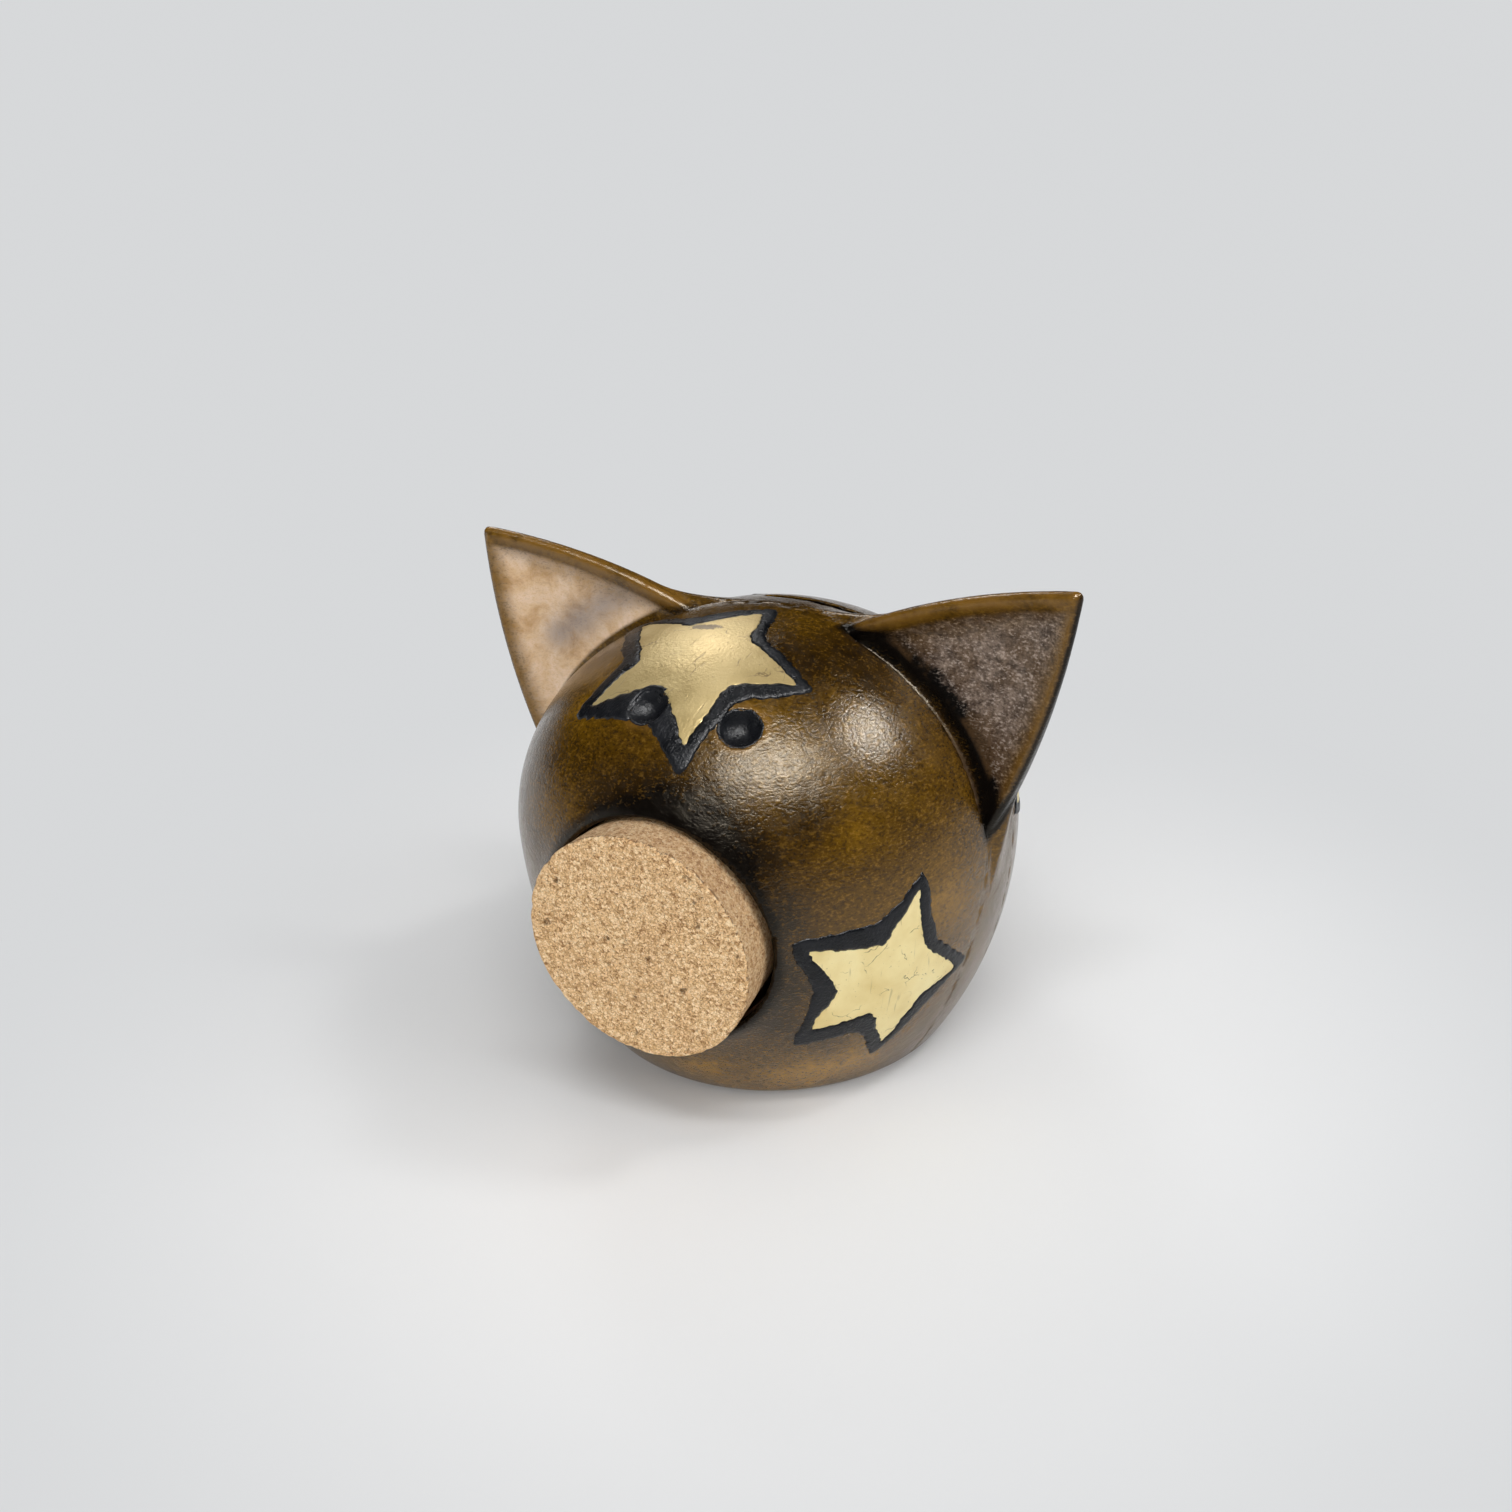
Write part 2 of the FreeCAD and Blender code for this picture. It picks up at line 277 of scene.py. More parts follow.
def ear_blade(p, side):
    """One ear: a blade with a rounded rim and a front face scooped by thumb."""
    a, b, c = ear_place(p, side)
    outline = ear_outline(a, b)
    inset = -outline
    forward = c - EAR_FRONT
    scoop = EAR_SCOOP * smooth_step(-ear_top(a, b), 1.6, 8.0)
    scoop *= smooth_step(-ear_outer(a, b), -1.0, 13.0)
    from_tip = np.hypot(a - EAR_TIP[0], b - EAR_TIP[1])
    thick = EAR_EDGE_THICK + (EAR_ROOT_THICK - EAR_EDGE_THICK) * smooth_step(from_tip, 0, 75)
    thick = thick * (0.8 + 0.2 * smooth_step(inset, 0, 12)) + scoop * 0.55
    slab = np.maximum(forward + scoop, -thick - forward)
    return round_max(outline, slab, EAR_RIM_ROUND) / 1.08


def ear_fillet(p, side):
    """Fillet radius at an ear's root: crisp in front, wide behind."""
    forward = ear_place(p, side)[2] - EAR_FRONT
    behind = smooth_step(-forward, 0.8, 5.0)
    return EAR_FILLET_FRONT + (EAR_FILLET_BACK - EAR_FILLET_FRONT) * behind


def ear_crease(p, side, form):
    """The groove that a tool left where an ear's front meets the pot."""
    a, b, c = ear_place(p, side)
    depth = smooth_step(-ear_outline(a, b), -1.0, 6.0)
    return np.hypot(form, c - EAR_FRONT + 0.6) - CREASE_R[side] * depth


def pot_outside(p):
    """The pot without its cavity and without ears or tail."""
    form = pot_form(p) - hand_swells(p) - hole_lip(p)
    field = round_max(form, -p[2], FOOT_ROUND)
    field = round_max(field, -cork_hole(p), RIM_ROUND)
    for centre, radius in EYES.values():
        field = round_max(field, radius - distance_to(p, centre), EYE_LIP)
    field = round_max(field, -slot_hole(p), SLOT_ROUND)
    for side in (1, -1):
        field = round_max(field, -ear_crease(p, side, form), 0.8)
    return field


def hollowed(p, clay):
    """A clay field with the pot's cavity taken out."""
    cavity = round_max(pot_form(p, -WALL), FLOOR - p[2], CAVITY_ROUND)
    return round_max(clay, -cavity, CAVITY_EDGE_ROUND)


def pot_shell(p):
    return hollowed(p, pot_outside(p))


def tail_rope(p):
    """The curled tail: a rope of clay that tapers as it winds off the rump."""
    middle = (tail_low + tail_high) / 2
    reach = (tail_high[0] - tail_low[0]) / 2
    field = np.full(p[0].shape, 1e3)
    for t in np.linspace(0, 1, 70):
        angle = math.radians(TAIL_START + TAIL_SWEEP * t)
        curl = reach * (0.68 - 0.2 * t)
        rope = TAIL_ROOT_R + (TAIL_TIP_R - TAIL_ROOT_R) * t
        out = tail_low[1] + (tail_high[1] - tail_low[1]) * (0.1 + 0.62 * t)
        knot = middle[0] + curl * math.cos(angle), out, middle[2] + curl * math.sin(angle)
        field = round_min(field, distance_to(p, knot) - rope, 0.5)
    return field


def added(p, form, fillet):
    """An added clay piece: its own form, filleted into a thin skirt under the pot's surface."""
    pot = pot_outside(p)
    joined = round_min(pot + SINK, form, fillet)
    skirt = np.maximum(-(pot + SKIRT), form - np.maximum(fillet, 2.0) - 2.0)
    return np.maximum(joined, skirt)


def ear(p, side):
    return added(p, ear_blade(p, side), ear_fillet(p, side))


def tail(p):
    return added(p, tail_rope(p), TAIL_FILLET)


def whole_clay(p):
    """Pot, ears and tail as one hollow form, so that shading runs on across the joins."""
    field = pot_outside(p)
    for side in (1, -1):
        field = round_min(field, ear_blade(p, side), ear_fillet(p, side))
    return hollowed(p, round_min(field, tail_rope(p), TAIL_FILLET))


# ---- Meshing --------------------------------------------------------------------------


def stretch(low, high, coarse, fine_bands=()):
    """Grid lines from low to high, closer together inside the bands (from, to, step)."""
    lines = [low]
    while lines[-1] < high:
        steps = [fine for a, b, fine in fine_bands if a <= lines[-1] <= b]
        lines.append(lines[-1] + min(steps + [coarse]))
    return np.array(lines)


def slope_of(field, points, reach):
    """Gradient of a field at points, one to a row, by central differences."""
    slopes = []
    for step in np.eye(points.shape[1]) * reach:
        slopes.append(field((points + step).T) - field((points - step).T))
    return np.array(slopes).T / (2 * reach)


def settle(field, points, most, rounds=4, reach=0.02, least_square=1e-6):
    """Moves points onto a field's zero set, each round by no more than `most`."""
    for _ in range(rounds):
        slope = slope_of(field, points, reach)
        square = np.maximum((slope ** 2).sum(1), least_square)
        move = -(field(points.T) / square)[:, None] * slope
        length = np.linalg.norm(move, axis=1, keepdims=True)
        points = points + move * np.minimum(1, most / np.maximum(length, 1e-9))
    return points


def crossings(values, xs, ys, zs, cells):
    """Middle of the points where a cell's edges cross zero, for each cell."""
    i, j, k = cells
    total = np.zeros((len(i), 3))
    count = np.zeros(len(i))
    for a, b, c in np.ndindex(2, 2, 2):
        for axis in range(3):
            if (a, b, c)[axis]:
                continue
            far = [a, b, c]
            far[axis] = 1
            v0 = values[i + a, j + b, k + c]
            v1 = values[i + far[0], j + far[1], k + far[2]]
            hit = (v0 < 0) != (v1 < 0)
            t = np.where(hit, v0 / np.where(hit, v0 - v1, 1), 0)
            near = np.c_[xs[i + a], ys[j + b], zs[k + c]]
            end = np.c_[xs[i + far[0]], ys[j + far[1]], zs[k + far[2]]]
            total += np.where(hit[:, None], near + (end - near) * t[:, None], 0)
            count += hit
    return total / count[:, None]


def net_quads(inside, index):
    """Quads round each grid edge that the surface crosses."""
    quads = []
    for axis in range(3):
        turned = np.moveaxis(inside, axis, 0)
        cell = np.moveaxis(index, axis, 0)
        first, second = turned[:-1], turned[1:]
        crossed = first != second
        i, j, k = np.nonzero(crossed[:, 1:-1, 1:-1])
        ring = [cell[i, j, k], cell[i, j + 1, k], cell[i, j + 1, k + 1], cell[i, j, k + 1]]
        quad = np.array(ring).T
        leaving = first[i, j + 1, k + 1] != (axis == 1)
        quad[~leaving] = quad[~leaving][:, ::-1]
        quads.append(quad)
    return np.concatenate(quads)


def surface_net(field, xs, ys, zs):
    """Closed quad mesh of a field's zero set on a grid, as (points, quads)."""
    grid = np.meshgrid(xs, ys, zs, indexing="ij")
    values = field(grid)
    inside = values < 0
    mixed = np.zeros(tuple(n - 1 for n in inside.shape), int)
    for a, b, c in np.ndindex(2, 2, 2):
        mixed += inside[a:len(xs) - 1 + a, b:len(ys) - 1 + b, c:len(zs) - 1 + c]
    cells = np.nonzero((mixed > 0) & (mixed < 8))
    index = np.full(mixed.shape, -1)
    index[cells] = np.arange(len(cells[0]))
    points = crossings(values, xs, ys, zs, cells)
    return points, net_quads(inside, index)


def add_object(name, data):
    """A new object in the scene."""
    made = bpy.data.objects.new(name, data)
    bpy.context.scene.collection.objects.link(made)
    return made


def make_piece(name, points, faces, body, node, normal_field=None):
    """A smooth-shaded Blender piece that rides on a body and stands for a CAD node."""
    mesh = bpy.data.meshes.new(name)
    mesh.from_pydata((points * MM).tolist(), [], faces)
    mesh.validate()
    mesh.shade_smooth()
    if normal_field is not None:
        slope = slope_of(normal_field, points, 0.05)
        slope /= np.maximum(np.linalg.norm(slope, axis=1, keepdims=True), 1e-9)
        mesh.normals_split_custom_set_from_vertices(slope.tolist())
    piece = add_object(name, mesh)
    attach(piece, body)
    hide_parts(node)
    return piece


def ring_quads(rings, around):
    """Quads between rings of points that follow one another."""
    quads = []
    for ring in range(rings - 1):
        low, high = ring * around, (ring + 1) * around
        for i in range(around):
            j = (i + 1) % around
            quads.append((low + i, high + i, high + j, low + j))
    return quads


def set_attributes(piece, **numbers):
    """Stores numbers per vertex, by name, for the materials to read."""
    for name, values in numbers.items():
        layer = piece.data.attributes.new(name, "FLOAT", "POINT")
        layer.data.foreach_set("value", np.asarray(values, np.float32))


# ---- Clay pieces ----------------------------------------------------------------------


def clay_piece(name, field, grid, node):
    """Meshes a clay field, settles the mesh on it, and shades it as one surface with the pot."""
    points, quads = surface_net(field, *grid)
    points = settle(field, points, 0.5)
    piece = make_piece(name, points, quads.tolist(), POT, node, whole_clay)
    mark_clay(piece, points.T)
    return piece


# Smudges of smoke and of rubbed gold: (x, y, z), reach, strength
SMOKE = [
    ((-13, -60, 90), 11, 0.7), ((3, -62, 91), 12, 1.3), ((16, -61, 88), 12, 1.3),
    ((27, -60, 80), 12, 1.1), ((34, -60, 66), 11, 0.9), ((34, -60, 48), 11, 0.9),
    ((30, -62, 33), 13, 1.0), ((42, -52, 26), 11, 0.8), ((37, -50, 90), 9, 0.8),
    ((31, -8, 115), 13, 0.9), ((16, -18, 117), 10, 0.8), ((26, -22, 112), 9, 0.6),
    ((0, 10, 121), 12, 0.5), ((38, -14, 108), 8, 0.6), ((-34, -52, 88), 15, 0.3),
    ((-36, -59, 72), 11, 0.25), ((-65, -2, 105), 6, 0.7), ((-58, -1, 110), 7, 0.8),
    ((-51, 1, 115), 6, 0.7), ((-45, 2, 117), 5, 0.5),
    ((-27, -8, 114), 9, 0.5), ((-30, 40, 100), 20, 0.7), ((48, 48, 60), 20, 0.7),
    ((-60, 30, 40), 20, 0.7), ((8, 66, 86), 13, 0.8), ((0, 62, 20), 18, 0.6),
    ((-66, -14, 50), 13, 0.5), ((24, 60, 34), 14, 0.6),
]
RUBBED = [
    ((6, -58, 11), 15, 0.8), ((31, -49, 11), 15, 0.8), ((44, -39, 13), 15, 0.7),
    ((46, -44, 84), 9, 0.35), ((25, -57, 98), 7, 0.4), ((62, -30, 60), 16, 0.4),
    ((-30, -38, 104), 12, 0.5), ((19, -39, 107), 9, 0.5), ((27, -61, 93), 5, 0.4),
    ((-34, -57, 82), 13, 0.5), ((40, 54, 86), 14, 0.5), ((-52, 44, 66), 16, 0.5),
    ((20, 66, 48), 16, 0.5),
]


def smudges(p, table):
    """Sum of soft round smudges at each point."""
    return sum(
        strength * np.exp(-1.6 * (distance_to(p, centre) / reach) ** 2)
        for centre, reach, strength in table
    )


# How much painted shade each ear gets on its edge, along its root and in its groove, by side: the
# left ear is the dark one
EDGE_SHADE = {1: 1.8, -1: 0.5}
ROOT_SHADE = {1: 1.8, -1: 0.0}
GROOVE_SHADE = {1: 2.4, -1: 0.8}


def ear_marks(p, height, side):
    """Copper, rim and painted shade on one ear: coloured front, golden rims, shade painted on
    edges, root and groove.
    """
    a, b, c = ear_place(p, side)
    forward = c - EAR_FRONT
    from_top, from_outer = -ear_top(a, b), -ear_outer(a, b)
    on_ear = smooth_step(-ear_outline(a, b), -1.5, 0.3)
    on_front = smooth_step(forward, -EAR_SCOOP - 1.2, -EAR_SCOOP + 0.4)
    off_pot = smooth_step(height, 0.5, 3.0) * on_ear
    off_edge = 0.35 + 0.65 * smooth_step(np.minimum(from_outer, from_top * 0.7), 0.5, 10.0)
    copper = side * on_front * off_pot * off_edge * smooth_step(from_top, 3.0, 5.6)
    edge = smooth_step(from_outer, 0.2, 1.4)
    rim = off_pot * (1 - smooth_step(from_top, 2.4, 5.5))
    rim += 0.6 * off_pot * edge * (1 - smooth_step(from_outer, 1.4, 4.0))
    on_blade = 1 - smooth_step(forward, 0.0, 2.5)
    root = on_ear * on_front * on_blade * smooth_step(height, 0.2, 1.2)
    root *= (1 - smooth_step(height, 1.0, 8.0)) * smooth_step(from_top, 2, 5)
    near = CREASE_R[side] * 0.9
    groove = np.exp(-((height / near) ** 2) - ((forward + 0.6) / near) ** 2)
    # Painted shade: dark on the ear's edge faces, in a band along its root, and in the groove at
    # the pot
    smoke = EDGE_SHADE[side] * off_pot * (1 - edge) + ROOT_SHADE[side] * root
    smoke += GROOVE_SHADE[side] * on_ear * groove
    return smoke, copper, rim


def mark_clay(piece, p):
    """Stores where the clay is smoky or painted with shade, rubbed, coppery or bare, for its
    material.
    """
    height = pot_form(p)
    smoke, copper, rim = sum(np.array(ear_marks(p, height, side)) for side in (1, -1))
    smoke += smudges(p, SMOKE) - smudges(p, RUBBED)
    for centre, radius in EYES.values():
        apart = distance_to(p, centre) - radius
        rim += 0.8 * np.exp(-(((apart - 1.0) / 0.9) ** 2))
    # A dark ring round the cork's hole: painted shade in the gap at the cork, with the patina that
    # gathers at the snout
    from_hole = np.hypot(p[0], p[2] - CORK_Z) - CORK_FACE_R
    smoke += 1.3 * (p[1] < 0) * np.exp(-(((from_hole - 1.0) / 2.2) ** 2))
    # Painted shade: the inside of the coin slot is made near black instead of bare clay
    in_slot = smooth_step(-height, 0.5, 1.2) * smooth_step(-slot_hole(p), -1.5, -0.5)
    bare = smooth_step(-height, 2.0, 4.0) * (1 - in_slot)
    set_attributes(piece, smoke=smoke + 4.0 * in_slot, copper=copper, rim=rim, bare=bare)


COARSE = 1.5
pot_grid = (
    stretch(-BELLY_R - 2, BELLY_R + 2, COARSE, [(-21, 25, 1.0)]),
    stretch(-BELLY_R - 2, BELLY_R + 2, COARSE, [(-60, -34, 1.0), (14.5, 22.5, 0.6)]),
    stretch(-2, TOP_Z + 3, COARSE, [(-2, 4, 0.8), (94, 123, 0.9)]),
)
ear_low, ear_high = (np.array(corner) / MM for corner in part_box("ear_left"))
ear_low -= (28, 6, 36)  # room for the skirt, which runs far down inside the pot
ear_high += (3, 20, 3)
ear_x, ear_y, ear_z = map(stretch, ear_low, ear_high, [0.9] * 3)
tail_grid = map(stretch, tail_low - 5, tail_high + 5, [0.6] * 3)

clay_pieces = [
    clay_piece("pot_body", pot_shell, pot_grid, "body_shell"),
    clay_piece("ear_blade_left", lambda p: ear(p, 1), (ear_x, ear_y, ear_z), "ear_left"),
    clay_piece("ear_blade_right", lambda p: ear(p, -1), (-ear_x[::-1], ear_y, ear_z), "ear_right"),
    clay_piece("curled_tail", tail, tail_grid, "tail"),
]


# ---- Films of leaf and paint ----------------------------------------------------------


LEAF_TEAR = np.array([-9.5, -12.5, 118.0])  # ragged patch at the forehead leaf's upper notch
LEAF_TEAR_REACH = np.array([6.0, 1.7, 6.0])
DRAPE_START = 9.0  # how far off the pot a film starts before it is dropped on
FILM_SINK = 0.3  # how far a film's underside lies in the clay

# How a kind of film is made: its slot, half the grid's width, grid step, rise, rounded edge
Film = namedtuple("Film", "slot spread step rise edge_round")
LEAF = Film("gold_leaf", 46.0, 0.62, 0.1, 0.5)
BRUSHED = Film("black_paint", 46.0, 0.62, 0.34, 1.1)
DABBED = Film("black_paint", 8.0, 0.45, 0.12, 0.8)


def ripple(a, b, size, seed):
    """Smooth random waves over a plane, about -1 to 1, with features of a given size."""
    random = np.random.default_rng(seed)
    total = np.zeros(np.shape(a))
    for _ in range(14):
        angle, phase = random.uniform(0, 2 * math.pi, 2)
        pace = 2 * math.pi / (size * random.uniform(0.7, 1.6))
        total = total + np.sin(pace * (a * math.cos(angle) + b * math.sin(angle)) + phase)
    return total / math.sqrt(14)


def plane_at(centre):
    """u and v across the pot at a point, and the way out of it."""
    out = slope_of(pot_form, centre[None], 0.1)[0]
    out /= np.linalg.norm(out)
    u = np.cross([0, 0, 1], out)
    u /= np.linalg.norm(u)
    return u, np.cross(out, u), out


def film_border(name, out):
    """Closed loops of points round the outer side of a CAD film."""
    points = np.round(node_points(name), 2)
    places, merged = np.unique(points, axis=0, return_inverse=True)
    merged = merged.reshape(-1)
    edges = set()
    for face in frame["nodes"][name].data.polygons:
        if np.dot(face.normal, out) > 0.5:
            ring = [int(merged[i]) for i in face.vertices]
            edges.update(zip(ring, ring[1:] + ring[:1]))
    following = {}
    for a, b in sorted(edges):
        if (b, a) not in edges:
            following.setdefault(a, []).append(b)
    loops = []
    while following:
        here = min(following)
        loop = []
        while here in following:
            loop.append(here)
            onward = following[here].pop()
            if not following[here]:
                del following[here]
            here = onward
        loops.append(places[loop])
    return loops


def rim_points(name, out):
    """Points where a CAD film's outer side meets its edge walls."""
    points = node_points(name)
    on_top, on_wall = set(), set()
    for face in frame["nodes"][name].data.polygons:
        facing = np.dot(face.normal, out)
        corners = [tuple(np.round(points[i], 2)) for i in face.vertices]
        if facing > 0.5:
            on_top.update(corners)
        elif facing > -0.5:
            on_wall.update(corners)
    return np.array(sorted(on_top & on_wall))


def by_bearing(flat):
    """Flat points put in order round the middle."""
    return flat[np.argsort(np.arctan2(flat[:, 1], flat[:, 0]))]


def brushed_loop(loop, softness, spacing=0.7):
    """A flat loop with its corners softened, as a brush or torn leaf leaves them."""
    closed = np.r_[loop, loop[:1]]
    run = np.r_[0, np.cumsum(np.linalg.norm(np.diff(closed, axis=0), axis=1))]
    count = int(run[-1] / spacing)
    at = np.linspace(0, run[-1], count, endpoint=False)
    even = np.array([np.interp(at, run, closed[:, i]) for i in (0, 1)]).T
    for _ in range(int(2 * (softness / spacing) ** 2)):
        even = even / 2 + (np.roll(even, 1, axis=0) + np.roll(even, -1, axis=0)) / 4
    return even


def distance_inside(a, b, starts, ends):
    """Distance in a plane to a border of straight edges: above zero inside, below outside."""
    nearest = np.full(a.shape, 1e9)
    inside = np.zeros(a.shape, bool)
    for (a0, b0), (a1, b1) in zip(starts, ends):
        run_a, run_b = a1 - a0, b1 - b0
        square = max(run_a ** 2 + run_b ** 2, 1e-12)
        t = np.clip(((a - a0) * run_a + (b - b0) * run_b) / square, 0, 1)
        nearest = np.minimum(nearest, np.hypot(a - a0 - t * run_a, b - b0 - t * run_b))
        if b0 != b1:
            across = a0 + (b - b0) / run_b * run_a
            inside ^= ((b0 > b) != (b1 > b)) & (a < across)
    return np.where(inside, nearest, -nearest)


def drape(points, out, rounds=40):
    """Drops points along -out onto the pot's outside."""
    for _ in range(rounds):
        points = points - out * (0.9 * pot_outside(points.T))[:, None]
    return points


def cut_grid(spread, step, depth_inside):
    """Flat grid cut to a film's edge, as a, b, which points are on the edge, quads, border."""
    lines = np.arange(-spread, spread + step, step)
    a, b = (grid.ravel() for grid in np.meshgrid(lines, lines, indexing="ij"))
    n = len(lines)
    corner = np.arange(n * n).reshape(n, n)
    quads = np.stack([corner[:-1, :-1], corner[1:, :-1], corner[1:, 1:], corner[:-1, 1:]], -1)
    quads = quads.reshape(-1, 4)
    quads = quads[depth_inside(a, b)[quads].mean(1) > 0]
    edge_list = np.concatenate([quads[:, [i, (i + 1) % 4]] for i in range(4)])
    present = set(map(tuple, edge_list.tolist()))
    border = np.array([pair for pair in present if pair[::-1] not in present])
    rim = np.zeros(n * n, bool)
    rim[border.ravel()] = True
    on_rim = np.c_[a[rim], b[rim]]
    on_rim = settle(lambda p: depth_inside(*p), on_rim, 0.35 * step, 3, 0.05, 0.3)
    a[rim], b[rim] = on_rim.T
    used = np.unique(quads)
    index = np.full(n * n, -1)
    index[used] = np.arange(len(used))
    return a[used], b[used], rim[used], index[quads], index[border]


def film_piece(name, node, make, centre, depth_inside):
    """A thin draped layer. depth_inside(a, b) is the distance inside its edge."""
    u, v, out = plane_at(centre)
    a, b, rim, quads, border = cut_grid(make.spread, make.step, depth_inside)
    depth = np.where(rim, 0, depth_inside(a, b))
    ground = drape(centre + np.outer(a, u) + np.outer(b, v) + out * DRAPE_START, out)
    normal = slope_of(pot_outside, ground, 0.3)
    normal /= np.linalg.norm(normal, axis=1, keepdims=True)
    t = np.clip(depth / make.edge_round, 0, 1)
    lift = make.rise * (0.25 + 0.75 * np.sqrt(1 - (1 - t) ** 2))
    top = ground + normal * lift[:, None]
    bottom = ground - normal * FILM_SINK
    count = len(a)
    walls = [[j, i, i + count, j + count] for i, j in border.tolist()]
    faces = quads.tolist() + (quads[:, ::-1] + count).tolist() + walls
    piece = make_piece(name, np.r_[top, bottom], faces, POT, node)
    torn = np.exp(-(((top - LEAF_TEAR) / LEAF_TEAR_REACH) ** 2).sum(1))
    a, b, depth, torn = (np.r_[values, values] for values in (a, b, depth, torn))
    set_attributes(piece, across=a, along=b, depth=depth, torn=torn)
    return piece


def make_star(name, seed):
    """A star's leaf and the outline brushed round it, as two pieces."""
    leaf_node, outline_node = "star_leaf_" + name, "star_outline_" + name
    centre = node_points(leaf_node).mean(0)
    u, v, out = plane_at(centre)

    def flatten(points):
        return np.c_[(points - centre) @ u, (points - centre) @ v]

    def flat_loops(node):
        if name not in PLAIN_STARS:
            return [flatten(loop) for loop in film_border(node, out)]
        inner = by_bearing(flatten(rim_points(leaf_node, out)))
        if node == leaf_node:
            return [inner]
        rim = flatten(rim_points(outline_node, out))
        outside = distance_inside(*rim.T, inner, np.roll(inner, -1, axis=0)) < -1.0
        return [by_bearing(rim[outside]), inner]

    def edges_of(node, softness):
        soft = [brushed_loop(loop, softness) for loop in flat_loops(node)]
        onward = [np.roll(loop, -1, axis=0) for loop in soft]
        return np.concatenate(soft), np.concatenate(onward)

    leaf_edges = edges_of(leaf_node, 0.5)
    outline_edges = edges_of(outline_node, 1.6)

    def inside_leaf(a, b):
        torn = 0.3 * ripple(a, b, 2.2, seed) + 0.12 * ripple(a, b, 0.9, seed + 1)
        return distance_inside(a, b, *leaf_edges) + 0.7 + torn

    def inside_outline(a, b):
        wander = 0.4 * ripple(a, b, 9.0, seed + 2)
        shake = 0.2 * ripple(a, b, 3.0, seed + 3)
        wobble = 0.18 * ripple(a, b, 2.4, seed + 4)
        return distance_inside(a + wander, b + shake, *outline_edges) + 0.28 + wobble

    return (
        film_piece(f"star_{name}_leaf", leaf_node, LEAF, centre, inside_leaf),
        film_piece(f"star_{name}_outline", outline_node, BRUSHED, centre, inside_outline),
    )


def make_eye_paint(name, seed):
    """The paint dabbed in an eye dimple, with an uneven edge."""
    middle = EYES[name][0]
    on_pot = settle(pot_form, middle[None], 8.0, 6)[0]

    def depth_inside(a, b):
        return EYE_PAINT_R - np.hypot(a, b) + 0.22 * ripple(a, b, 3.5, seed)

    return film_piece(name.replace("_paint", "_dab"), name, DABBED, on_pot, depth_inside)


PLAIN_STARS = ("left_flank", "right_flank", "rump")  # their borders run straight round a middle
STARS = ("forehead", "left_cheek", *PLAIN_STARS)
stars = [make_star(name, 10 * i + 1) for i, name in enumerate(STARS)]
leaf_pieces, outline_pieces = zip(*stars)
dabs = [make_eye_paint(name, 70 + i) for i, name in enumerate(EYES)]


# ---- Cork -----------------------------------------------------------------------------


CORK_SIDES = 300
GRANULES = 26000
PIT_SHARE = 0.035  # share of the granules that have dropped out
EDGE_CHIPS = 26


def cork_profile():
    """Radius and y of each ring of the cork, from the middle of its face to that of its back."""
    edge = 0.7
    rings = [(r, CORK_FACE_Y) for r in np.linspace(0.35, CORK_FACE_R - edge, 48)]
    for angle in np.radians([18, 36, 54, 72, 90]):
        rings.append((
            CORK_FACE_R - edge + edge * math.sin(angle),
            CORK_FACE_Y + edge - edge * math.cos(angle),
        ))
    for y in np.r_[np.linspace(1.4, 12.0, 16), np.linspace(13.5, CORK_LENGTH - 0.6, 12)]:
        rings.append((CORK_FACE_R + CORK_SLOPE * y, CORK_FACE_Y + y))
    back = CORK_FACE_Y + CORK_LENGTH
    rings += [(r, back) for r in np.linspace(CORK_END_R - 0.5, 0.35, 16)]
    return np.array(rings)


def spun(rings):
    """Points (or directions) of each (radius, y), all round the Y axis."""
    turn = np.linspace(0, 2 * math.pi, CORK_SIDES, endpoint=False)
    return np.array([(r * math.cos(t), y, r * math.sin(t)) for r, y in rings for t in turn])


def make_cork():
    """The stopper: bonded cork granules, some proud, some dropped out, with a worn edge."""
    rings = cork_profile()
    count, around = len(rings), CORK_SIDES
    points = spun(rings) + (0, 0, CORK_Z)
    ahead = np.gradient(rings, axis=0)
    ahead /= np.linalg.norm(ahead, axis=1, keepdims=True)
    outward = spun(np.c_[ahead[:, 1], -ahead[:, 0]])
    points -= outward * granule_depth(points)[:, None]
    middles = [(0, CORK_FACE_Y, CORK_Z), (0, CORK_FACE_Y + CORK_LENGTH, CORK_Z)]
    points = np.r_[points, middles]
    faces = ring_quads(count, around)
    front, back = count * around, count * around + 1
    last_ring = (count - 1) * around
    for i in range(around):
        j = (i + 1) % around
        faces.append((front, i, j))
        faces.append((back, last_ring + j, last_ring + i))
    cork = make_piece("cork_plug", points, faces, STOPPER, "cork_stopper")
    set_attributes(cork, side=smooth_step(points[:, 1] - CORK_FACE_Y, 0.3, 1.1))
    return cork


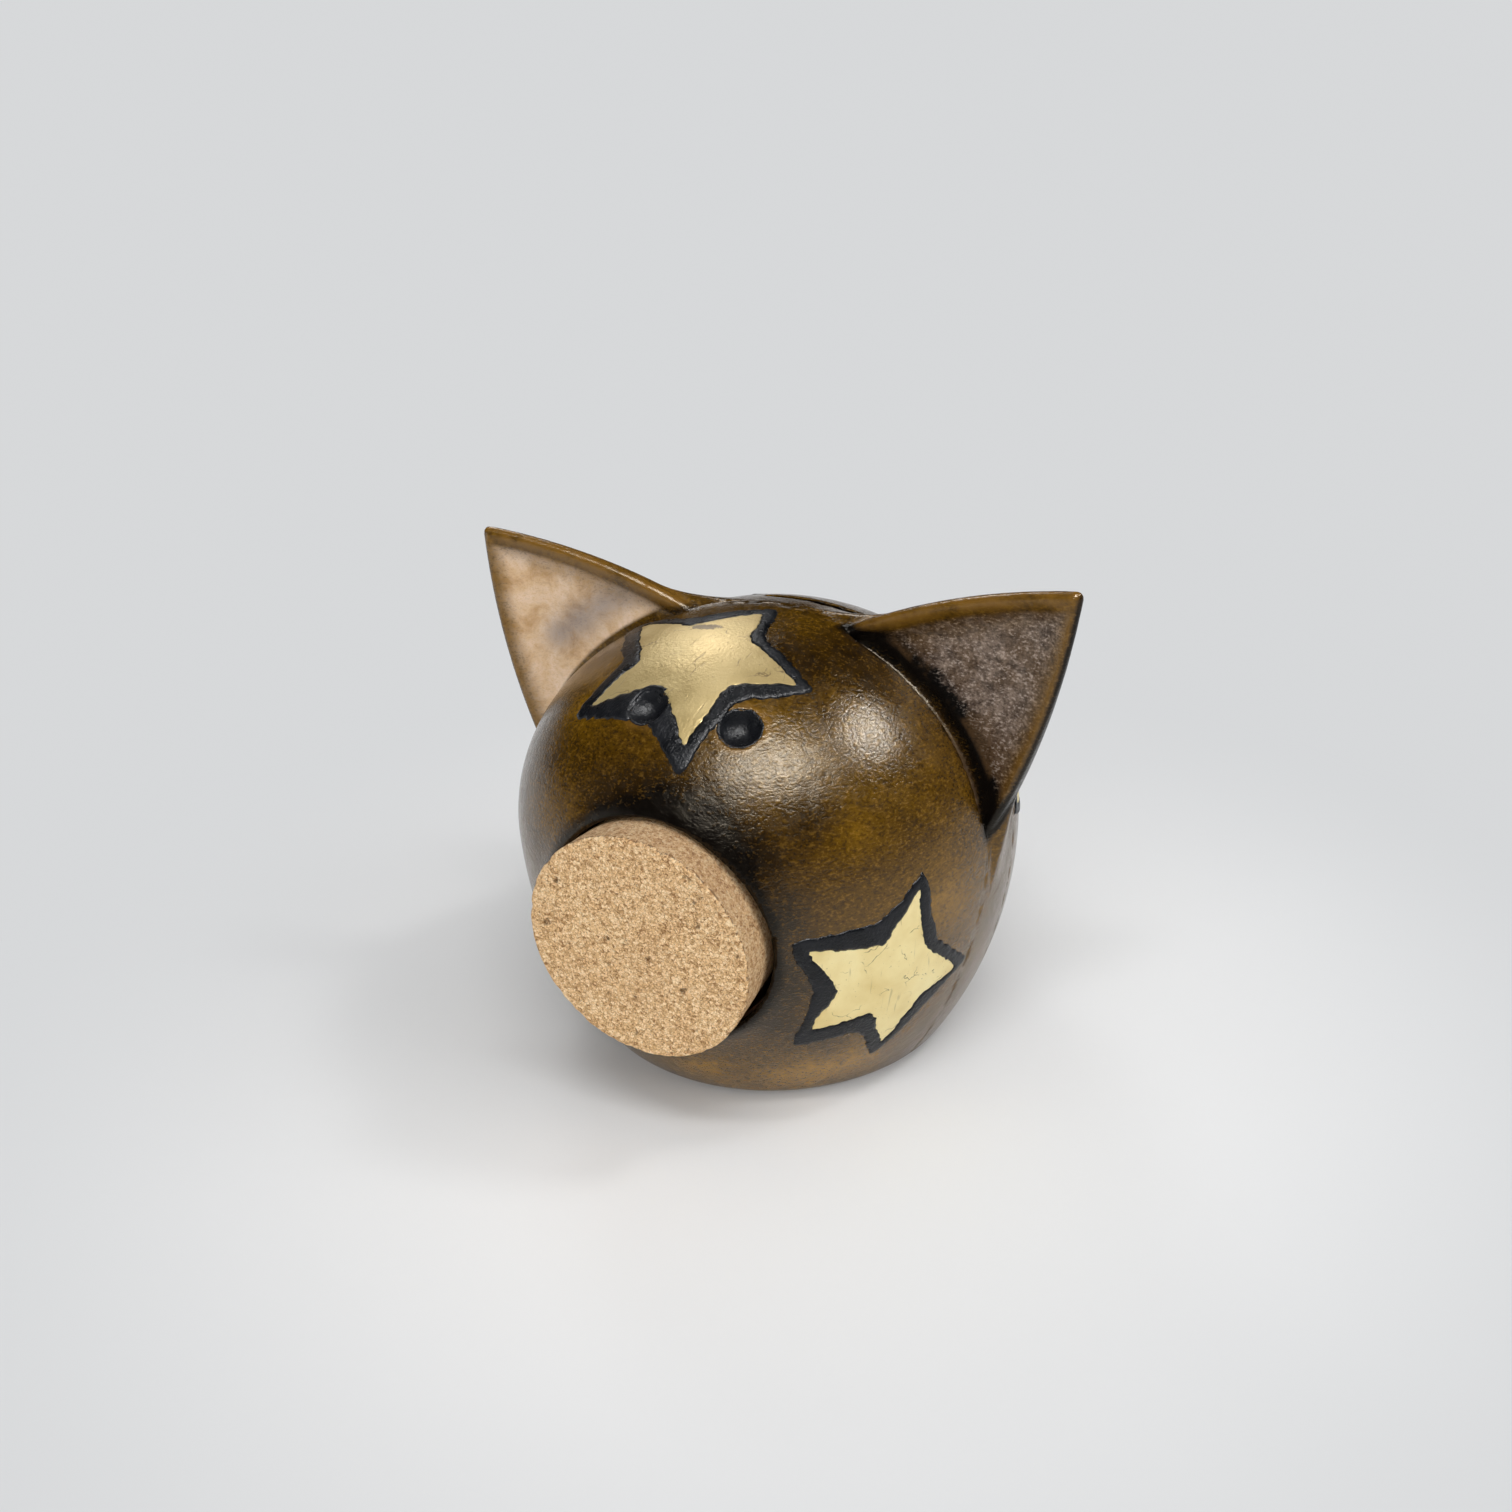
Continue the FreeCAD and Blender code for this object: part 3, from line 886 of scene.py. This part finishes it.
def granule_depth(points):
    """How far the cork's surface lies back at each point: granules, pits and edge chips."""
    random = np.random.default_rng(5)
    tree = kdtree.KDTree(GRANULES)
    for i, seed in enumerate(random.uniform(CORK_LOW - 1, CORK_HIGH + 1, (GRANULES, 3))):
        tree.insert(seed, i)
    tree.balance()
    height = random.uniform(0.0, 0.13, GRANULES)
    fallen_out = random.uniform(0, 1, GRANULES) < PIT_SHARE
    pit = fallen_out * random.uniform(0.25, 0.7, GRANULES)
    depth = np.empty(len(points))
    for i, point in enumerate(points):
        nearest, second = tree.find_n(point, 2)
        seam = math.exp(-(((second[2] - nearest[2]) / 0.22) ** 2))
        depth[i] = height[nearest[1]] + pit[nearest[1]] * (1 - seam) + 0.05 * seam
    rim = np.hypot(points[:, 0], points[:, 2] - CORK_Z) / CORK_FACE_R
    at_edge = np.exp(-((rim - 1) / 0.02) ** 2 - (points[:, 1] - CORK_FACE_Y) ** 2)
    angle = np.arctan2(points[:, 2] - CORK_Z, points[:, 0])
    for chip in random.uniform(0, 2 * math.pi, EDGE_CHIPS):
        apart = np.angle(np.exp(1j * (angle - chip)))
        depth += at_edge * random.uniform(0.15, 0.6) * np.exp(-(apart / 0.03) ** 2)
    return depth


cork_piece = make_cork()


# ---- Materials ------------------------------------------------------------------------


class Amount:
    """A number inside a material. + - and * add the nodes that work them out."""

    def __init__(self, graph, socket):
        self.graph, self.socket = graph, socket

    def __add__(self, other):
        return self.graph.math("ADD", self, other)

    def __sub__(self, other):
        return self.graph.math("SUBTRACT", self, other)

    def __rsub__(self, other):
        return self.graph.math("SUBTRACT", other, self)

    def __mul__(self, other):
        return self.graph.math("MULTIPLY", self, other)

    def clamped(self):
        """Keeps the last sum or product between 0 and 1."""
        self.socket.node.use_clamp = True
        return self


class Graph:
    """A material under construction. Lengths in its coordinates are millimetres."""

    def __init__(self, name):
        self.material = bpy.data.materials.new(name)
        self.material.use_nodes = True
        self.tree = self.material.node_tree
        self.surface = self.tree.nodes["Principled BSDF"]
        place = self.node("ShaderNodeTexCoord").outputs["Object"]
        self.place = self.vector("SCALE", place, 1 / MM)

    def node(self, kind, **settings):
        made = self.tree.nodes.new(kind)
        for name, value in settings.items():
            setattr(made, name, value)
        return made

    def put(self, socket, value):
        """Links a socket, or sets its value. A colour is three numbers."""
        if isinstance(value, Amount):
            value = value.socket
        if isinstance(value, bpy.types.NodeSocket):
            self.tree.links.new(value, socket)
        elif isinstance(value, tuple) and socket.type == "RGBA":
            socket.default_value = (*value, 1)
        else:
            socket.default_value = value

    def vector(self, operation, a, b):
        """Vector arithmetic. For SCALE, b is a number."""
        made = self.node("ShaderNodeVectorMath", operation=operation)
        self.put(made.inputs[0], a)
        self.put(made.inputs["Scale"] if operation == "SCALE" else made.inputs[1], b)
        return made.outputs[0]

    def attribute(self, name):
        """A number that each vertex carries."""
        made = self.node("ShaderNodeAttribute", attribute_name=name)
        return Amount(self, made.outputs["Fac"])

    def math(self, operation, a, b):
        made = self.node("ShaderNodeMath", operation=operation)
        for socket, value in zip(made.inputs, (a, b)):
            self.put(socket, value)
        return Amount(self, made.outputs[0])

    def noise(self, size, detail=3.0, roughness=0.55, warp=0.0, vector=None):
        """Cloudy noise, about 0 to 1, whose features are about `size` millimetres across."""
        made = self.node("ShaderNodeTexNoise")
        self.put(made.inputs["Vector"], vector or self.place)
        self.put(made.inputs["Scale"], 1 / size)
        self.put(made.inputs["Detail"], detail)
        self.put(made.inputs["Roughness"], roughness)
        self.put(made.inputs["Distortion"], warp)
        return Amount(self, made.outputs["Fac"])

    def cells(self, size, vector, feature="F1"):
        """Cells about `size` millimetres across, as a node."""
        made = self.node("ShaderNodeTexVoronoi", feature=feature)
        self.put(made.inputs["Vector"], vector)
        self.put(made.inputs["Scale"], 1 / size)
        return made

    def cell_tone(self, size, vector, channel):
        """A random number for each cell, from one channel of its colour."""
        tone = self.node("ShaderNodeSeparateColor")
        self.put(tone.inputs[0], self.cells(size, vector).outputs["Color"])
        return Amount(self, tone.outputs[channel])

    def cell_edge(self, size, vector):
        """Distance to the nearest edge between cells."""
        made = self.cells(size, vector, "DISTANCE_TO_EDGE")
        return Amount(self, made.outputs["Distance"])

    def step(self, value, start, end, low=0.0, high=1.0):
        """Smooth ramp of a value between two limits."""
        made = self.node("ShaderNodeMapRange", interpolation_type="SMOOTHSTEP")
        for socket, number in zip(made.inputs, (value, start, end, low, high)):
            self.put(socket, number)
        return Amount(self, made.outputs[0])

    def ramp(self, value, *stops):
        """Colour along stops (position, colour)."""
        made = self.node("ShaderNodeValToRGB")
        elements = made.color_ramp.elements
        while len(elements) < len(stops):
            elements.new(0.5)
        for element, (position, colour) in zip(elements, stops):
            element.position = position
            element.color = (*colour, 1)
        self.put(made.inputs[0], value)
        return made.outputs[0]

    def blend(self, amount, first, second):
        """Colour mix. The node has a pair of inputs for each kind of data; 6 and 7 are colours."""
        made = self.node("ShaderNodeMix", data_type="RGBA")
        self.put(made.inputs["Factor"], amount)
        self.put(made.inputs[6], first)
        self.put(made.inputs[7], second)
        return made.outputs[2]

    def bump(self, height, distance, strength=1.0, under=None):
        """Relief: height 0 to 1 spans `distance` millimetres."""
        made = self.node("ShaderNodeBump")
        self.put(made.inputs["Height"], height)
        self.put(made.inputs["Distance"], distance * MM)
        self.put(made.inputs["Strength"], strength)
        if under is not None:
            self.put(made.inputs["Normal"], under)
        return made.outputs[0]

    def finish_with(self, **values):
        """Sets the surface's inputs by name, with _ for a space."""
        for name, value in values.items():
            self.put(self.surface.inputs[name.replace("_", " ")], value)
        return self.material


def patinated_clay():
    """Golden brown glaze smoked dark in clouds, with painted shade in creases and the slot,
    dry-brushed over a grainy surface.
    """
    g = Graph("patinated_clay")
    smoke = g.attribute("smoke")
    unsmoked = (1.0 - smoke * 0.5).clamped()
    clouds = g.noise(24.0, 4.0, 0.6, 0.6) * 0.50 + g.noise(5.0, 4.0, 0.62, 0.9) * 0.34
    glaze = g.ramp(
        smoke * 0.34 + clouds - 0.02,
        (0.05, (0.270, 0.135, 0.0090)),
        (0.28, (0.106, 0.051, 0.0020)),
        (0.50, (0.051, 0.0235, 0.0014)),
        (0.68, (0.024, 0.011, 0.0015)),
        (0.85, (0.0030, 0.0022, 0.0018)),
    )
    brushed = g.vector("MULTIPLY", g.place, (1, 1, 1.7))  # grains lie drawn out round the pot
    grain = g.noise(0.95, 3.0, 0.62, vector=brushed)
    relief = grain * 0.7 + g.noise(2.1, 2.0, 0.5, vector=brushed) * 0.3
    hollow = g.step(relief, 0.49, 0.39)
    crest = g.step(relief, 0.52, 0.63)
    copper = g.attribute("copper")
    smooth_front = g.step(copper, -0.2, -0.9)
    rough_front = g.step(copper, 0.2, 0.9)
    glaze = g.blend(smooth_front, glaze, peach_glaze(g, smoke))
    glaze = g.blend(rough_front, glaze, charred_glaze(g, smoke))
    glaze = g.blend(hollow * (0.5 - smooth_front * 0.4), glaze, (0.006, 0.0045, 0.0035))
    # Grain crests: dry-brushed gold on the body; on the left ear's front a grey-pink painted
    # highlight standing in for sparkle
    crest_gold_and_sparkle = g.blend(rough_front, (0.36, 0.185, 0.026), (0.56, 0.46, 0.39))
    crest_tint = g.blend(0.55, glaze, crest_gold_and_sparkle)
    glaze = g.blend(crest * ((rough_front * 0.45 + 0.45) * unsmoked), glaze, crest_tint)
    rim = g.attribute("rim") * g.step(g.noise(7.0, 3.0), 0.25, 0.60) * unsmoked
    glaze = g.blend((rim * 0.8).clamped(), glaze, (0.200, 0.098, 0.016))
    bare = g.attribute("bare")
    biscuit = g.ramp(g.noise(6.0, 5.0), (0.3, (0.16, 0.085, 0.045)), (0.7, (0.30, 0.165, 0.09)))
    sheen = g.step(g.noise(3.0, 3.0), 0.3, 0.7, 0.15, 0.27)
    # Reflection and coat are cut back where smoke and painted shade are deep
    deep_smoke_and_shade = g.step(smoke, 0.7, 1.8, 0.0, 0.55)
    normal = g.bump(g.noise(9.0, 2.0), 0.4, 0.5, g.bump(relief, 0.23, 0.9))
    return g.finish_with(
        Base_Color=g.blend(bare, glaze, biscuit), Roughness=(sheen + bare * 0.45).clamped(),
        Specular_IOR_Level=(1.0 - deep_smoke_and_shade) * 0.42, Specular_Tint=(1.0, 0.86, 0.64),
        Coat_Weight=(1.0 - (deep_smoke_and_shade + bare)).clamped() * 0.35, Coat_Roughness=0.12,
        Normal=normal, Coat_Normal=normal,
    )


def peach_glaze(g, smoke):
    """The pale front of the right ear, grey where it is smoky or painted with shade."""
    peach = g.ramp(
        g.noise(9.0, 5.0, 0.65, 0.5),
        (0.30, (0.42, 0.250, 0.110)),
        (0.46, (0.60, 0.410, 0.245)),
        (0.66, (0.71, 0.535, 0.390)),
    )
    return g.blend((smoke * 0.95).clamped(), peach, (0.215, 0.195, 0.195))


def charred_glaze(g, smoke):
    """The dark speckled front of the left ear, with brown patches."""
    char = g.ramp(
        g.noise(3.0, 4.0, 0.7, 0.5) - smoke * 0.28,
        (0.20, (0.0030, 0.0026, 0.0025)),
        (0.40, (0.080, 0.055, 0.042)),
        (0.66, (0.240, 0.178, 0.138)),
    )
    brown_patch = g.step(g.noise(11.0, 3.0, 0.6), 0.45, 0.62, 0.0, 0.6)
    return g.blend(brown_patch, char, (0.085, 0.045, 0.018))


def agglomerated_cork():
    """Pressed cork granules, tan, with darker bark flecks and shadowed seams."""
    g = Graph("agglomerated_cork")
    granules = warped(g, 1 / 0.9, 1.0)
    mixed = g.cell_tone(0.85, granules, 0) * 0.5 + g.cell_tone(0.42, granules, 1) * 0.5
    body = g.ramp(
        mixed,
        (0.10, (0.30, 0.150, 0.055)),
        (0.28, (0.58, 0.340, 0.150)),
        (0.52, (0.80, 0.520, 0.260)),
        (0.85, (0.94, 0.720, 0.440)),
    )
    fleck = g.step(g.noise(0.5, 2.0, 0.6), 0.60, 0.67)
    body = g.blend(fleck * 0.7, body, (0.15, 0.062, 0.022))
    seam = g.step(g.cell_edge(0.85, granules), 0.09, 0.0)
    body = g.blend(seam * 0.35, body, (0.30, 0.155, 0.07))
    body = g.blend(g.step(g.noise(14.0, 2.0), 0.35, 0.75, 0.0, 0.12), body, (0.42, 0.24, 0.12))
    side = g.attribute("side")
    # Painted shade: the cork's side band is made darker than its face
    body = g.blend(side * 0.36, body, (0.24, 0.125, 0.055))
    worn = g.step(side, 0.0, 0.25) * g.step(side, 1.0, 0.5)
    crumbs = worn * g.step(g.noise(0.9, 2.0), 0.46, 0.56)
    body = g.blend(crumbs * 0.75, body, (0.10, 0.045, 0.018))
    return g.finish_with(
        Base_Color=body, Roughness=0.82, Specular_IOR_Level=0.25,
        Normal=g.bump(mixed * 0.6 - seam * 0.6, 0.22, 0.9),
    )


def gold_leaf():
    """Pale gold leaf over grainy clay: hairline cracks, fine scratches and dark pinholes."""
    g = Graph("gold_leaf")
    soft = g.noise(11.0, 3.0, 0.5)
    gold = g.ramp(
        soft,
        (0.30, (0.74, 0.575, 0.245)),
        (0.55, (0.87, 0.730, 0.370)),
        (0.80, (0.94, 0.840, 0.500)),
    )
    edge = g.cell_edge(12.0, warped(g, 3.0, 4.0))
    crack = g.step(edge, 0.012, 0.003) * g.step(g.noise(7.0, 2.0), 0.50, 0.60)
    scratch = g.step(g.noise(1.6, 2.0, 0.6, vector=combed(g, 9.0)), 0.64, 0.70)
    pinhole = g.step(g.noise(0.9, 3.0, 0.7), 0.665, 0.71)
    frayed = g.step(g.attribute("depth"), 1.1, 0.0) * g.step(g.noise(1.3, 3.0), 0.50, 0.60)
    torn = g.step(g.attribute("torn") + g.noise(1.0, 4.0, 0.7) * 1.3, 1.16, 1.24)
    worn = crack
    for fault in (scratch * 0.35, pinhole, frayed, torn):
        worn = g.math("MAXIMUM", worn, fault)
    # Painted shade: the leaf is darker where it faces up, standing in for the dim ceiling it would
    # reflect
    facing = g.node("ShaderNodeSeparateXYZ")
    g.put(facing.inputs[0], g.node("ShaderNodeNewGeometry").outputs["Normal"])
    leaf_top_shade = g.step(facing.outputs["Z"], 0.45, 0.9, 0.0, 0.85)
    gold = g.blend(leaf_top_shade, gold, (0.40, 0.290, 0.120))
    height = g.noise(0.9, 3.0) + g.noise(5.0, 3.0) * 1.2 - scratch * 0.4
    return g.finish_with(
        Base_Color=g.blend(worn * 0.8, gold, (0.11, 0.065, 0.018)),
        Metallic=0.5 - worn * 0.45, Roughness=g.step(soft, 0.3, 0.7, 0.36, 0.48),
        Normal=g.bump(height, 0.16, 0.7),
    )


def warped(g, size, reach):
    """Coordinates pushed about by noise, so that cell edges wander."""
    push = g.node("ShaderNodeTexNoise")
    g.put(push.inputs["Vector"], g.place)
    g.put(push.inputs["Scale"], 1 / size)
    return g.vector("ADD", g.place, g.vector("SCALE", push.outputs["Color"], reach))


def combed(g, ratio):
    """Coordinates in a film's own plane, drawn out along one way, for scratches."""
    both = g.node("ShaderNodeCombineXYZ")
    g.put(both.inputs[0], g.attribute("across"))
    g.put(both.inputs[1], g.attribute("along") * (1 / ratio))
    return both.outputs[0]


def black_paint():
    """Brushed black paint, satin, laid thick enough to show strokes."""
    g = Graph("black_paint")
    patchy = g.noise(6.0, 3.0)
    stroke = g.noise(0.8, 3.0, 0.6)
    return g.finish_with(
        Base_Color=g.ramp(patchy, (0.3, (0.0035, 0.0040, 0.0050)), (0.75, (0.012, 0.013, 0.016))),
        Roughness=g.step(patchy, 0.3, 0.7, 0.24, 0.36), Specular_IOR_Level=0.24,
        Normal=g.bump(stroke * 0.7 + g.noise(2.2, 2.0) * 0.5, 0.34, 0.9),
    )


def dress(pieces, material):
    for piece in pieces:
        piece.data.materials.clear()
        piece.data.materials.append(material)


dress(clay_pieces, patinated_clay())
dress([cork_piece], agglomerated_cork())
dress(leaf_pieces, gold_leaf())
dress([*outline_pieces, *dabs], black_paint())


# ---- Studio ---------------------------------------------------------------------------


def make_floor():
    """A wide pale floor. Away from the object it glows in the colour of the surroundings, so
    that no edge or horizon shows from any side."""
    around = 96
    turn = np.linspace(0, 2 * math.pi, around, endpoint=False)
    radii = (0.2, 0.6, 1.8, 6.0, 30.0)
    points = [(r * math.cos(t), r * math.sin(t), 0) for r in radii for t in turn]
    mesh = bpy.data.meshes.new("floor")
    mesh.from_pydata(points, [], [tuple(range(around))] + ring_quads(len(radii), around))
    floor = add_object("floor", mesh)
    floor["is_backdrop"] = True
    g = Graph("floor_paper")
    away = g.node("ShaderNodeVectorMath", operation="LENGTH")
    g.put(away.inputs[0], g.place)
    glow = g.step(away.outputs["Value"], 80.0, 260.0)
    paper = g.ramp(g.noise(400.0, 2.0), (0.3, (0.80, 0.805, 0.81)), (0.7, (0.83, 0.83, 0.83)))
    dress([floor], g.finish_with(
        Base_Color=g.blend(glow, paper, (0.0, 0.0, 0.0)), Roughness=0.9, Specular_IOR_Level=0.0,
        Emission_Color=SURROUNDINGS, Emission_Strength=glow * SEEN_STRENGTH,
    ))


def make_camera():
    lens = bpy.data.cameras.new("camera")
    lens.lens, lens.sensor_width = FOCAL_LENGTH, 36.0
    lens.clip_start = 0.01
    camera = add_object("camera", lens)
    camera.location = [value * MM for value in CAMERA_PLACE]
    tilt = Euler((math.radians(90) - CAMERA_PITCH, 0, CAMERA_YAW)).to_matrix()
    camera.rotation_euler = (tilt @ Euler((0, 0, CAMERA_ROLL)).to_matrix()).to_euler()
    bpy.context.scene.camera = camera


def make_light(name, azimuth, elevation, away, size, power, shows_in_gloss=True):
    """Soft rectangular light aimed at the pot. Azimuth 0 is in front, 90 on the +X side."""
    a, e = math.radians(azimuth), math.radians(elevation)
    way = Vector((math.sin(a) * math.cos(e), -math.cos(a) * math.cos(e), math.sin(e)))
    light = make_panel(name, way * away + Vector((0, 0, 0.06)), -way, size, power)
    light.visible_glossy = shows_in_gloss
    return light


def make_panel(name, place, aim, size, power):
    """Rectangular light at a place, facing along aim."""
    lamp = bpy.data.lights.new(name, "AREA")
    lamp.shape = "RECTANGLE"
    lamp.size, lamp.size_y = size
    lamp.energy = power
    light = add_object(name, lamp)
    light.location = place
    light.rotation_euler = Vector(aim).to_track_quat("-Z", "Y").to_euler()
    return light


def make_world(fill):
    """Pale surroundings: they fill shadows, but stay out of reflections so that dark glaze
    stays dark."""
    world = bpy.data.worlds.new("studio")
    bpy.context.scene.world = world
    world.use_nodes = True
    nodes, links = world.node_tree.nodes, world.node_tree.links
    background = nodes["Background"]
    background.inputs["Color"].default_value = (*SURROUNDINGS, 1)
    path = nodes.new("ShaderNodeLightPath")
    choose = nodes.new("ShaderNodeMapRange")
    choose.inputs["To Min"].default_value = fill
    choose.inputs["To Max"].default_value = SEEN_STRENGTH
    links.new(path.outputs["Is Camera Ray"], choose.inputs["Value"])
    links.new(choose.outputs[0], background.inputs["Strength"])
    world.cycles_visibility.glossy = False


CAMERA_PLACE = (168.5, -326.2, 249.8)
CAMERA_YAW, CAMERA_PITCH, CAMERA_ROLL = (math.radians(d) for d in (27.74, 25.24, -2.65))
FOCAL_LENGTH = 34.52
SURROUNDINGS = (0.97, 0.985, 1.0)
SEEN_STRENGTH = 0.7
make_floor()
make_camera()
make_world(0.13)
ceiling = make_panel("ceiling", (0, 0.2, 1.35), (0, 0, -1), (2.4, 2.4), 6.0)
ceiling.visible_glossy = False  # it only fills the shadows
make_light("key_front", 28, 66, 1.3, (0.85, 0.12), 4.5)
make_light("key_side", 118, 54, 1.3, (0.2, 0.2), 2.6)
make_light("left_edge", -55, 10, 1.3, (0.12, 0.5), 0.8)
make_light("back_rim", -136, 42, 1.3, (0.3, 0.2), 1.6)
for name, azimuth, elevation, size, power in (
    ("glint_front", 28, 66, (0.7, 0.1), 27.0),
    ("glint_side", 115, 55, (0.16, 0.16), 4.5),
    ("glint_back", -136, 42, (0.2, 0.12), 2.5),
):
    make_light(name, azimuth, elevation, 1.3, size, power).visible_diffuse = False
make_light("front_fill", 5, 20, 1.6, (1.7, 1.0), 14.0, shows_in_gloss=False)
make_light("right_fill", 95, 22, 1.4, (1.0, 0.8), 8.5, shows_in_gloss=False)
bpy.context.scene.view_settings.view_transform = "Standard"

size = {"cad": [list(cad_low), list(cad_high)], "visual": [list(c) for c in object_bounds()]}
